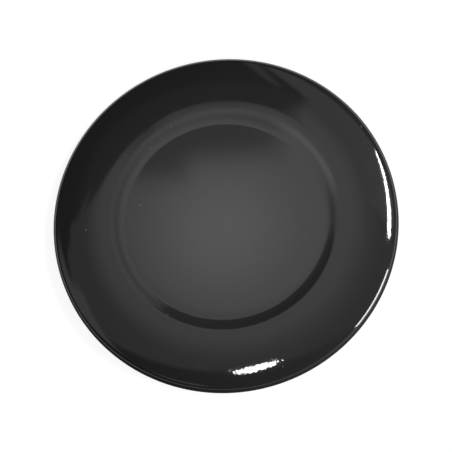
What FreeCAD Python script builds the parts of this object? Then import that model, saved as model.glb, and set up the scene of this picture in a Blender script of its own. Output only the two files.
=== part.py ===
import FreeCAD, Part
import math
import os

# Gas burner cap: one round of sheet steel, pressed to shape and coated all over in black glass enamel.
# The cap lies loose on a burner crown. Its middle is pressed down as a shallow round recess, which stands
# out below as the boss that centres the cap. The narrow level land round the recess rests on the crown, the
# ring outside it falls away in one slow curve, and the rim is rolled down to a short skirt.
# Frame: millimetres, +Z up along the axis of revolution, origin at the centre of the circle that the skirt
# stands on.

# Driving dimensions of the finished, enamelled cap
CAP_DIAMETER = 100.0
SHEET_THICKNESS = 1.5
SKIRT_HEIGHT = 1.8      # upright part of the rim, from the floor to where the roll begins
RIM_RADIUS = 2.3        # outside radius of the rolled rim
RING_RADIUS = 33.0      # top-side radius of the ring's section, from the level land to the rolled rim
LAND_WIDTH = 2.3        # level land round the recess, whose underside is the seat on the crown
RECESS_DIAMETER = 57.5  # floor of the recess, up to where its wall begins to rise
RECESS_DEPTH = 0.55     # from the edge of that floor up to the land
FLOOR_CROWN = 0.45      # how much higher the middle of the floor is than its edge
WALL_RADIUS = 9.0       # top-side radius of both bends in the recess wall
EDGE_BEVEL = 0.4        # deburred corners of the cut edge, under the enamel

# Radii and slopes that follow from them, from the axis outwards
CAP_RADIUS = CAP_DIAMETER / 2
FLOOR_RADIUS = RECESS_DIAMETER / 2
FLOOR_SLOPE = 2 * math.atan(FLOOR_CROWN / FLOOR_RADIUS)
CROWN_RADIUS = FLOOR_RADIUS / math.sin(FLOOR_SLOPE)
WALL_SLOPE = math.acos((1 + math.cos(FLOOR_SLOPE) - RECESS_DEPTH / WALL_RADIUS) / 2)
INNER_BEND_R = FLOOR_RADIUS + WALL_RADIUS * math.sin(FLOOR_SLOPE)
CREST_RADIUS = INNER_BEND_R + 2 * WALL_RADIUS * math.sin(WALL_SLOPE)
RING_START = CREST_RADIUS + LAND_WIDTH
ROLL_CENTRE_R = CAP_RADIUS - RIM_RADIUS
RING_SLOPE = math.asin((ROLL_CENTRE_R - RING_START) / (RING_RADIUS - RIM_RADIUS))

# Heights that follow from them, from the skirt upwards
RING_CENTRE_Z = SKIRT_HEIGHT - (RING_RADIUS - RIM_RADIUS) * math.cos(RING_SLOPE)
LAND_Z = RING_CENTRE_Z + RING_RADIUS
FLOOR_EDGE_Z = LAND_Z - RECESS_DEPTH


def on_circle(centre, radius, angle):
    """Point of the section at an angle from straight up, positive outwards, as (distance from axis, height)."""
    return (centre[0] + radius * math.sin(angle), centre[1] + radius * math.cos(angle))


def at(point):
    """Section point as a vector in the plane of the section."""
    return FreeCAD.Vector(point[0], 0, point[1])


def line(start, end):
    return Part.LineSegment(at(start), at(end)).toShape()


def arc(centre, radius, start, end):
    """Arc of the section between two angles from straight up."""
    angles = (start, (start + end) / 2, end)
    return Part.Arc(*[at(on_circle(centre, radius, angle)) for angle in angles]).toShape()


def face_of_sheet(depth):
    """Edges of one face of the sheet, from the axis to the skirt, at a depth below the top face.

    The arcs keep their centres at every depth, so the sheet keeps its thickness from the middle to the skirt.
    """
    below = math.pi
    side = math.pi / 2
    crown_centre = (0, FLOOR_EDGE_Z - CROWN_RADIUS * math.cos(FLOOR_SLOPE))
    inner_centre = (INNER_BEND_R, FLOOR_EDGE_Z + WALL_RADIUS * math.cos(FLOOR_SLOPE))
    crest_centre = (CREST_RADIUS, LAND_Z - WALL_RADIUS)
    ring_centre = (RING_START, RING_CENTRE_Z)
    roll_centre = (ROLL_CENTRE_R, SKIRT_HEIGHT)
    return [
        arc(crown_centre, CROWN_RADIUS - depth, 0, FLOOR_SLOPE),
        arc(inner_centre, WALL_RADIUS + depth, below + FLOOR_SLOPE, below - WALL_SLOPE),
        arc(crest_centre, WALL_RADIUS - depth, -WALL_SLOPE, 0),
        line((CREST_RADIUS, LAND_Z - depth), (RING_START, LAND_Z - depth)),
        arc(ring_centre, RING_RADIUS - depth, 0, RING_SLOPE),
        arc(roll_centre, RIM_RADIUS - depth, RING_SLOPE, side),
    ]


def skirt_edge():
    """Edges round the foot of the skirt, from its outside to its inside, with bevelled corners."""
    outside = CAP_RADIUS
    inside = CAP_RADIUS - SHEET_THICKNESS
    points = [
        (outside, SKIRT_HEIGHT),
        (outside, EDGE_BEVEL),
        (outside - EDGE_BEVEL, 0),
        (inside + EDGE_BEVEL, 0),
        (inside, EDGE_BEVEL),
        (inside, SKIRT_HEIGHT),
    ]
    return [line(start, end) for start, end in zip(points, points[1:])]


def burner_cap():
    """The pressed sheet, turned round the axis from its closed section."""
    crown_top = FLOOR_EDGE_Z + FLOOR_CROWN
    middle = line((0, crown_top - SHEET_THICKNESS), (0, crown_top))
    edges = [middle] + face_of_sheet(0) + skirt_edge() + face_of_sheet(SHEET_THICKNESS)
    section = Part.Wire(Part.__sortEdges__(edges))
    return Part.Face(section).revolve(FreeCAD.Vector(), FreeCAD.Vector(0, 0, 1), 360)


os.makedirs("parts", exist_ok=True)
cap = burner_cap()
cap.exportStep("parts/burner_cap.step")
print("volume in mm3:", round(cap.Volume, 1), "valid:", cap.isValid())
print("land at height", round(LAND_Z, 3), "from radius", round(CREST_RADIUS, 2), "to", round(RING_START, 2))
print("steepest slopes in degrees: wall", round(math.degrees(WALL_SLOPE), 2),
      "ring", round(math.degrees(RING_SLOPE), 2))
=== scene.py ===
import bpy
import math
from mathutils import Matrix, Vector


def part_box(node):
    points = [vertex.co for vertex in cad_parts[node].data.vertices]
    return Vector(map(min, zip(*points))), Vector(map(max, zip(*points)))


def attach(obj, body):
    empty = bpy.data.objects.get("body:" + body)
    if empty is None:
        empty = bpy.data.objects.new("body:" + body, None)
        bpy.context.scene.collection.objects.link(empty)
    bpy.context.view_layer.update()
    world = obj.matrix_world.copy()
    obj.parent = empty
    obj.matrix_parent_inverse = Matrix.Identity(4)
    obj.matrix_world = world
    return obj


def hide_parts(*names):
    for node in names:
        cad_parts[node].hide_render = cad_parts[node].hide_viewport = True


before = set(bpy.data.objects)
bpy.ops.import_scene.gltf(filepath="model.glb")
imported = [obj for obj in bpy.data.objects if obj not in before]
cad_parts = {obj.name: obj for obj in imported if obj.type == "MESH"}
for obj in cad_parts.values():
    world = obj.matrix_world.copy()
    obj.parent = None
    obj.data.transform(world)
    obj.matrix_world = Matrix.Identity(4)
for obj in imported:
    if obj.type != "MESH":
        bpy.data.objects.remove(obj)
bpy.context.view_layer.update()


# Cap
# One round of steel sheet, pressed to shape in a die and coated all over in black glass enamel.
# It is a body of revolution, so its section is drawn once, arc by arc, and turned round the axis.
# Nothing fixes it: it lies loose, on its skirt here and on its level land when it is on a burner.
low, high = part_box("burner_cap")
cap_radius = high.x
sheet = 0.0015
skirt_height = 0.0018
rim_radius = 0.0023
ring_radius = 0.033
land_width = 0.0023
floor_radius = 0.02875
recess_depth = 0.00055
floor_crown = 0.00045
wall_radius = 0.009
edge_radius = 0.0004
steps_round = 288
merge_distance = 0.000002

# Slopes, distances from the axis and heights of the section, as they follow from those sizes
upright = math.pi / 2
floor_slope = 2 * math.atan(floor_crown / floor_radius)
crown_radius = floor_radius / math.sin(floor_slope)
wall_slope = math.acos((1 + math.cos(floor_slope) - recess_depth / wall_radius) / 2)
trough_r = floor_radius + wall_radius * math.sin(floor_slope)
crest_r = trough_r + 2 * wall_radius * math.sin(wall_slope)
ring_r = crest_r + land_width
roll_r = cap_radius - rim_radius
ring_slope = math.asin((roll_r - ring_r) / (ring_radius - rim_radius))
ring_z = skirt_height - (ring_radius - rim_radius) * math.cos(ring_slope)
land_z = ring_z + ring_radius
floor_z = land_z - recess_depth

# Centres of its arcs, as distance from the axis and height
crown_centre = (0, floor_z - crown_radius * math.cos(floor_slope))
trough_centre = (trough_r, floor_z + wall_radius * math.cos(floor_slope))
crest_centre = (crest_r, land_z - wall_radius)
ring_centre = (ring_r, ring_z)
roll_centre = (roll_r, skirt_height)
outer_edge_centre = (cap_radius - edge_radius, edge_radius)
inner_edge_centre = (cap_radius - sheet + edge_radius, edge_radius)


def draw_arc(steps, centre, turn):
    """Draws the section on from its selected end. A positive turn goes outwards and down."""
    bpy.ops.mesh.spin(steps=steps, angle=turn, center=(centre[0], 0, centre[1]), axis=(0, -1, 0))


def draw_line(steps, along, up):
    """Draws the section straight on from its selected end."""
    for _ in range(steps):
        bpy.ops.mesh.extrude_region_move(TRANSFORM_OT_translate={"value": (along / steps, 0, up / steps)})


bpy.ops.object.select_all(action="DESELECT")
bpy.ops.mesh.primitive_plane_add(size=sheet, location=(0, 0, floor_z + floor_crown))
cap = bpy.context.object
cap.name = "enamelled_cap"
cap.data.name = "enamelled_cap"
bpy.ops.object.transform_apply(location=True, rotation=True, scale=True)
bpy.ops.object.mode_set(mode="EDIT")
bpy.ops.mesh.select_all(action="SELECT")
bpy.ops.mesh.merge(type="CENTER")

# Top, from the axis outwards: crowned floor, the wall's two bends, land, ring and rolled rim
draw_arc(24, crown_centre, floor_slope)
draw_arc(14, trough_centre, -floor_slope - wall_slope)
draw_arc(12, crest_centre, wall_slope)
draw_line(4, land_width, 0)
draw_arc(28, ring_centre, ring_slope)
draw_arc(18, roll_centre, upright - ring_slope)

# Skirt, with the enamel drawn round over the cut edge
draw_line(3, 0, edge_radius - skirt_height)
draw_arc(5, outer_edge_centre, upright)
draw_line(2, 2 * edge_radius - sheet, 0)
draw_arc(5, inner_edge_centre, upright)
draw_line(3, 0, skirt_height - edge_radius)

# Underside, from the skirt back to the axis, at the sheet's thickness below the top
draw_arc(10, roll_centre, ring_slope - upright)
draw_arc(18, ring_centre, -ring_slope)
draw_line(3, -land_width, 0)
draw_arc(10, crest_centre, -wall_slope)
draw_arc(10, trough_centre, floor_slope + wall_slope)
draw_arc(16, crown_centre, -floor_slope)

bpy.ops.mesh.select_all(action="SELECT")
bpy.ops.mesh.spin(steps=steps_round, angle=2 * math.pi, center=(0, 0, 0), axis=(0, 0, 1))
bpy.ops.mesh.select_all(action="SELECT")
bpy.ops.mesh.remove_doubles(threshold=merge_distance)
bpy.ops.mesh.normals_make_consistent(inside=False)
bpy.ops.object.mode_set(mode="OBJECT")
bpy.ops.object.shade_smooth()

enamel = bpy.data.materials.new("black_glass_enamel")
enamel.use_nodes = True
cap.data.materials.append(enamel)
glass = enamel.node_tree
glaze = glass.nodes["Principled BSDF"]
glaze.inputs["IOR"].default_value = 1.5
place_on_cap = glass.nodes.new("ShaderNodeTexCoord").outputs["Object"]


def grey(level):
    """A neutral colour."""
    return (level, level, level, 1)


def feed(tree, socket, value):
    """Gives an input of a node a fixed value, or the output of another node."""
    if isinstance(value, bpy.types.NodeSocket):
        tree.links.new(value, socket)
    else:
        socket.default_value = value


def combined(tree, operation, first, second):
    """Combines two values by one arithmetic operation."""
    node = tree.nodes.new("ShaderNodeMath")
    node.operation = operation
    feed(tree, node.inputs[0], first)
    feed(tree, node.inputs[1], second)
    return node.outputs["Value"]


def fade(tree, value, start, end, at_start, at_end, course="SMOOTHSTEP"):
    """Goes from one level to another while a value goes from start to end."""
    node = tree.nodes.new("ShaderNodeMapRange")
    node.interpolation_type = course
    node.inputs["From Min"].default_value = start
    node.inputs["From Max"].default_value = end
    node.inputs["To Min"].default_value = at_start
    node.inputs["To Max"].default_value = at_end
    tree.links.new(value, node.inputs["Value"])
    return node.outputs["Result"]


def round_patch(centre, inner, outer):
    """A mask for a round patch of the glaze: 1 within the inner radius, fading to 0 at the outer one."""
    beside = glass.nodes.new("ShaderNodeVectorMath")
    beside.operation = "SUBTRACT"
    beside.inputs[1].default_value = centre
    glass.links.new(place_on_cap, beside.inputs[0])
    level = glass.nodes.new("ShaderNodeVectorMath")
    level.operation = "MULTIPLY"
    level.inputs[1].default_value = (1, 1, 0)
    glass.links.new(beside.outputs["Vector"], level.inputs[0])
    away = glass.nodes.new("ShaderNodeVectorMath")
    away.operation = "LENGTH"
    glass.links.new(level.outputs["Vector"], away.inputs[0])
    return fade(glass, away.outputs["Value"], inner, outer, 1, 0)


def paler(below, level, mask):
    """The glaze with a paler grey over it where the mask is 1."""
    layer = glass.nodes.new("ShaderNodeMix")
    layer.data_type = "RGBA"
    feed(glass, layer.inputs["A"], below)
    layer.inputs["B"].default_value = grey(level)
    glass.links.new(mask, layer.inputs["Factor"])
    return layer.outputs["Result"]


# Painted reflection: the glaze is painted greyer in the recess, and palest near its middle, standing in for
# the glow from above mirrored there. Both patches are round and lie a little off the axis.
glaze_black = 0.0155
recess_reflection_grey = 0.032
middle_reflection_grey = 0.066
recess_reflection_patch = round_patch(centre=(0.0008, 0.0027, 0), inner=0.0285, outer=0.0335)
middle_reflection_patch = round_patch(centre=(-0.0020, -0.0030, 0), inner=0.0020, outer=0.0300)
with_recess_reflection = paler(grey(glaze_black), recess_reflection_grey, recess_reflection_patch)
with_recess_reflection = paler(with_recess_reflection, middle_reflection_grey, middle_reflection_patch)

# Painted highlight: the crest round the recess is painted pale on one side, at the back right, as a thin line
# of light.
crest_highlight_grey = 0.062
axis = (0, 0, 0)
up_to_crest = round_patch(axis, inner=0.0326, outer=0.0342)
recess_floor = round_patch(axis, inner=0.0292, outer=0.0312)
crest = combined(glass, "SUBTRACT", up_to_crest, recess_floor)
crest_highlight_patch = round_patch(centre=(0.0252, 0.0197, 0), inner=0.006, outer=0.018)
with_crest_highlight = paler(with_recess_reflection, crest_highlight_grey, combined(glass, "MULTIPLY", crest, crest_highlight_patch))


def specks(scale, radius):
    """A mask for small round specks, one or none in each cell. The radius is a share of a cell."""
    cells = glass.nodes.new("ShaderNodeTexVoronoi")
    cells.inputs["Scale"].default_value = scale
    glass.links.new(place_on_cap, cells.inputs["Vector"])
    return fade(glass, cells.outputs["Distance"], 0.6 * radius, radius, 1, 0, "LINEAR")


# Dust fired into the glaze leaves a few pale specks far apart. The closer pale specks on the crest are
# painted glints.
speck_and_glint_grey = 0.13
crest_glints = combined(glass, "MULTIPLY", specks(scale=300, radius=0.062), crest)
specks_and_glints = combined(glass, "MAXIMUM", specks(scale=95, radius=0.030), crest_glints)
feed(glass, glaze.inputs["Base Color"], paler(with_crest_highlight, speck_and_glint_grey, specks_and_glints))


def noise(scale, detail):
    """Soft random patches on the cap."""
    patches = glass.nodes.new("ShaderNodeTexNoise")
    patches.inputs["Scale"].default_value = scale
    patches.inputs["Detail"].default_value = detail
    glass.links.new(place_on_cap, patches.inputs["Vector"])
    return patches.outputs["Fac"]


# Wiping leaves the gloss a little uneven. Below the middle of the rolled rim the glaze is thin and dull,
# where it runs off after the dip and stands in the kiln.
glossiest = 0.035
smeared = 0.06
foot_matt_below = 0.0027
foot_glossy_above = 0.0033
full_shine = 0.5
foot_shine = 0.1
smears = fade(glass, noise(scale=140, detail=4), 0.3, 0.7, glossiest, smeared, "LINEAR")
height_on_cap = glass.nodes.new("ShaderNodeSeparateXYZ")
glass.links.new(place_on_cap, height_on_cap.inputs["Vector"])
foot = fade(glass, height_on_cap.outputs["Z"], foot_matt_below, foot_glossy_above, 1, 0)
feed(glass, glaze.inputs["Roughness"], combined(glass, "MAXIMUM", smears, foot))
feed(glass, glaze.inputs["Specular IOR Level"], fade(glass, foot, 0, 1, full_shine, foot_shine, "LINEAR"))


def bumps(height, distance, strength):
    """Bumps of the glaze, up to a distance from its surface."""
    bump = glass.nodes.new("ShaderNodeBump")
    bump.inputs["Distance"].default_value = distance
    feed(glass, bump.inputs["Strength"], strength)
    glass.links.new(height, bump.inputs["Height"])
    return bump


# Molten glass sets with long low waves and a fine orange peel, which is coarsest where the glaze ran thick.
thin_glaze_peel = 0.22
thick_glaze_peel = 1
thick_patch = round_patch(centre=(0.0116, -0.0435, 0), inner=0.010, outer=0.022)
peel_strength = fade(glass, thick_patch, 0, 1, thin_glaze_peel, thick_glaze_peel, "LINEAR")
low_waves = bumps(noise(scale=110, detail=1), distance=0.000012, strength=1)
orange_peel = bumps(noise(scale=1500, detail=1), distance=0.000017, strength=peel_strength)
glass.links.new(low_waves.outputs["Normal"], orange_peel.inputs["Normal"])
glass.links.new(orange_peel.outputs["Normal"], glaze.inputs["Normal"])

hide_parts("burner_cap")
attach(cap, "root")


# Floor
# A plain matt white table top, much larger than the cap, so that it is the backdrop of every view as well.
# Most of its white is its own, for the camera and in the enamel. The rest takes light, and the cap's shadow.
table_size = 60
lit_white = 0.3
own_white = 0.82
bpy.ops.mesh.primitive_plane_add(size=table_size, location=(0, 0, low.z))
table = bpy.context.object
table.name = "white_table"
table_white = bpy.data.materials.new("matt_white_table")
table_white.use_nodes = True
table.data.materials.append(table_white)
paint_tree = table_white.node_tree
paint = paint_tree.nodes["Principled BSDF"]
paint.inputs["Base Color"].default_value = grey(lit_white)
paint.inputs["Roughness"].default_value = 1.0
paint.inputs["Specular IOR Level"].default_value = 0.0
paint.inputs["Emission Color"].default_value = grey(own_white)
ray = paint_tree.nodes.new("ShaderNodeLightPath").outputs
seen_or_mirrored = combined(paint_tree, "ADD", ray["Is Camera Ray"], ray["Is Glossy Ray"])
or_seen_through = combined(paint_tree, "ADD", seen_or_mirrored, ray["Is Transmission Ray"])
feed(paint_tree, paint.inputs["Emission Strength"], or_seen_through)


# Camera
# A long lens far above the cap, leaning to the front and turned a little, as the photograph was taken.
# It is far enough away that the round cap looks very nearly a plain ellipse.
lean = math.radians(286.4)
tilt = math.radians(16.7)
camera_turn = math.radians(16.4)
camera_distance = 1.45
frame_width = 0.1308
aim = Vector((-0.00005, 0, -0.0001))
sight = Vector((math.sin(tilt) * math.cos(lean), math.sin(tilt) * math.sin(lean), math.cos(tilt)))
facing = sight.to_track_quat("Z", "Y").to_matrix() @ Matrix.Rotation(-camera_turn, 3, "Z")
camera = bpy.data.objects.new("camera", bpy.data.cameras.new("camera"))
bpy.context.scene.collection.objects.link(camera)
camera.data.sensor_width = 36
camera.data.lens = camera.data.sensor_width * camera_distance / frame_width
camera.location = aim + camera_distance * sight
camera.rotation_euler = facing.to_euler()
bpy.context.scene.camera = camera


# Overhead light
# A large diffusing sheet close above the cap, lit from behind in soft-edged areas. It is brightest where the
# camera sees it mirrored in the recess, and nearly dark at the back left, over the far side of the cap.
diffuser_size = 3
diffuser_height = 0.522
glow_level = 0.92
glow_centre = (-0.010, 0.190, diffuser_height)
glow_reach = (0.22, 0.26, 1)


def shining(name, lamp, radiance):
    """Makes an object a lamp of even brightness, which is mirrored in the cap but isn't in the picture."""
    shine = bpy.data.materials.new(name)
    shine.use_nodes = True
    tree = shine.node_tree
    tree.nodes.remove(tree.nodes["Principled BSDF"])
    glow = tree.nodes.new("ShaderNodeEmission")
    glow.inputs["Strength"].default_value = radiance
    tree.links.new(glow.outputs["Emission"], tree.nodes["Material Output"].inputs["Surface"])
    lamp.name = name
    lamp.data.materials.append(shine)
    lamp.visible_camera = False
    return tree, glow


bpy.ops.mesh.primitive_plane_add(size=diffuser_size, location=(0, 0, diffuser_height))
bpy.ops.object.transform_apply(location=True, rotation=True, scale=True)
diffuser, diffuser_glow = shining("overhead_light", bpy.context.object, 1)
on_diffuser = diffuser.nodes.new("ShaderNodeTexCoord").outputs["Object"]

# Broad glow of the lamp behind the sheet, fading out from its middle
from_glow = diffuser.nodes.new("ShaderNodeMapping")
from_glow.vector_type = "TEXTURE"
from_glow.inputs["Location"].default_value = glow_centre
from_glow.inputs["Scale"].default_value = glow_reach
diffuser.links.new(on_diffuser, from_glow.inputs["Vector"])
squared = diffuser.nodes.new("ShaderNodeVectorMath")
squared.operation = "DOT_PRODUCT"
diffuser.links.new(from_glow.outputs["Vector"], squared.inputs[0])
diffuser.links.new(from_glow.outputs["Vector"], squared.inputs[1])
thinning = combined(diffuser, "ADD", squared.outputs["Value"], 1)
broad_glow = combined(diffuser, "DIVIDE", glow_level, thinning)


def lit_area(level, edges, glow=None):
    """An area of the sheet inside straight edges, lit to a level, or by the glow where that is brighter.

    Each edge has a bearing in degrees, a distance from the cap's axis and a softness.
    """
    lit = combined(diffuser, "MAXIMUM", level, level if glow is None else glow)
    for bearing, reach, softness in edges:
        outwards = (math.cos(math.radians(bearing)), math.sin(math.radians(bearing)), 0)
        across = diffuser.nodes.new("ShaderNodeVectorMath")
        across.operation = "DOT_PRODUCT"
        across.inputs[1].default_value = outwards
        diffuser.links.new(on_diffuser, across.inputs[0])
        inside = fade(diffuser, across.outputs["Value"], reach - softness / 2, reach + softness / 2, 1, 0)
        lit = combined(diffuser, "MULTIPLY", lit, inside)
    return lit


right = 0
back = 90
left = 180
front = -90
front_edge = (front, 0.216, 0.07)
right_back_edge = (36.9, 0.693, 0.05)

# Faint light all over, then the areas mirrored in the recess and the right of the ring, and in its left
whole_sheet = lit_area(0.06, [])
over_right = lit_area(0.18, [(94.6, 0.204, 0.035), (left, 0.075, 0.02), front_edge, right_back_edge],
                      broad_glow)
over_left = lit_area(0.37, [(back, 0.185, 0.03), (right, -0.055, 0.02), (left, 0.459, 0.08), front_edge],
                     broad_glow)
left_corner = lit_area(0.37, [(111.8, 0.300, 0.05), (right, -0.24, 0.10), (left, 0.54, 0.08), front_edge],
                       broad_glow)

# Areas mirrored in the far right of the ring, and the strip beside them that makes the streak there
right_back = lit_area(0.50, [(153.4, 0.100, 0.035), (front, -0.17, 0.06), right_back_edge], broad_glow)
far_right = lit_area(0.50, [(186, -0.176, 0.05), (front, -0.36, 0.08), right_back_edge], broad_glow)
far_strip = lit_area(0.38, [(2, 0.091, 0.04), (186.5, -0.105, 0.04), (back, 1.15, 0.2), (front, -0.5, 0.1)])

# Dim area mirrored at the far side of the recess floor and of the ring, and the areas mirrored along the left
# and front left of the rim
dim_back = lit_area(0.12, [(right, 0.11, 0.05), (left, 0.40, 0.2), (back, 0.50, 0.2), (front, -0.15, 0.02)])
left_end = lit_area(0.72, [(right, -0.42, 0.08), (back, 0.02, 0.14), (front, 0.33, 0.1), (left, 0.60, 0.1)])
far_left = lit_area(0.72, [(28.6, -0.49, 0.06), (back, 0.16, 0.3), (front, 0.33, 0.1), (left, 1.15, 0.2)])
front_left = lit_area(0.70, [(right, -0.14, 0.06), (left, 0.40, 0.06), (back, -0.42, 0.06),
                             (front, 0.80, 0.06)])

brightest = whole_sheet
for area in (over_right, over_left, left_corner, right_back, far_right, far_strip,
             dim_back, left_end, far_left, front_left):
    brightest = combined(diffuser, "MAXIMUM", brightest, area)
feed(diffuser, diffuser_glow.inputs["Strength"], brightest)


# Lamps
# An oval lamp in front, a tapered strip at the right and a window low at the right, each turned to face the
# cap. They make the short highlights on the ring and along the rim.
def facing_cap(azimuth, zenith, distance, width, height, roll=0.0):
    """Sizes the panel just added and turns it to face the cap. Its angles are in degrees."""
    bearing = Vector((math.cos(math.radians(azimuth)), math.sin(math.radians(azimuth)), 0))
    bearing = bearing * math.sin(math.radians(zenith)) + Vector((0, 0, math.cos(math.radians(zenith))))
    turned = bearing.to_track_quat("Z", "Y").to_matrix() @ Matrix.Rotation(math.radians(roll), 3, "Z")
    panel = bpy.context.object
    panel.location = distance * bearing
    panel.rotation_euler = turned.to_euler()
    panel.scale = (width, height, 1)
    return panel


bpy.ops.mesh.primitive_circle_add(vertices=48, radius=0.5, fill_type="NGON")
front_lamp = facing_cap(azimuth=-80.5, zenith=21.9, distance=0.538, width=0.094, height=0.046, roll=14.0)
shining("front_lamp", front_lamp, radiance=60.0)

narrow_end = 0.24
bpy.ops.mesh.primitive_plane_add(size=1)
for corner in bpy.context.object.data.vertices:
    if corner.co.x > 0:
        corner.co.y *= narrow_end
right_strip = facing_cap(azimuth=31.9, zenith=46.9, distance=0.685, width=0.290, height=0.046, roll=-27.5)
shining("right_strip", right_strip, radiance=55.0)

bpy.ops.mesh.primitive_plane_add(size=1)
right_window = facing_cap(azimuth=-17.0, zenith=77.5, distance=0.9, width=0.42, height=0.34)
shining("right_window", right_window, radiance=20.0)


# Room
# The studio round the lamps, plain and nearly dark, so that the enamel mirrors little but the lamps and the
# table.
room_level = 0.03
room = bpy.data.worlds.new("studio")
bpy.context.scene.world = room
room.use_nodes = True
room.node_tree.nodes["Background"].inputs["Color"].default_value = grey(1)
room.node_tree.nodes["Background"].inputs["Strength"].default_value = room_level

bpy.context.scene.view_settings.view_transform = "Standard"
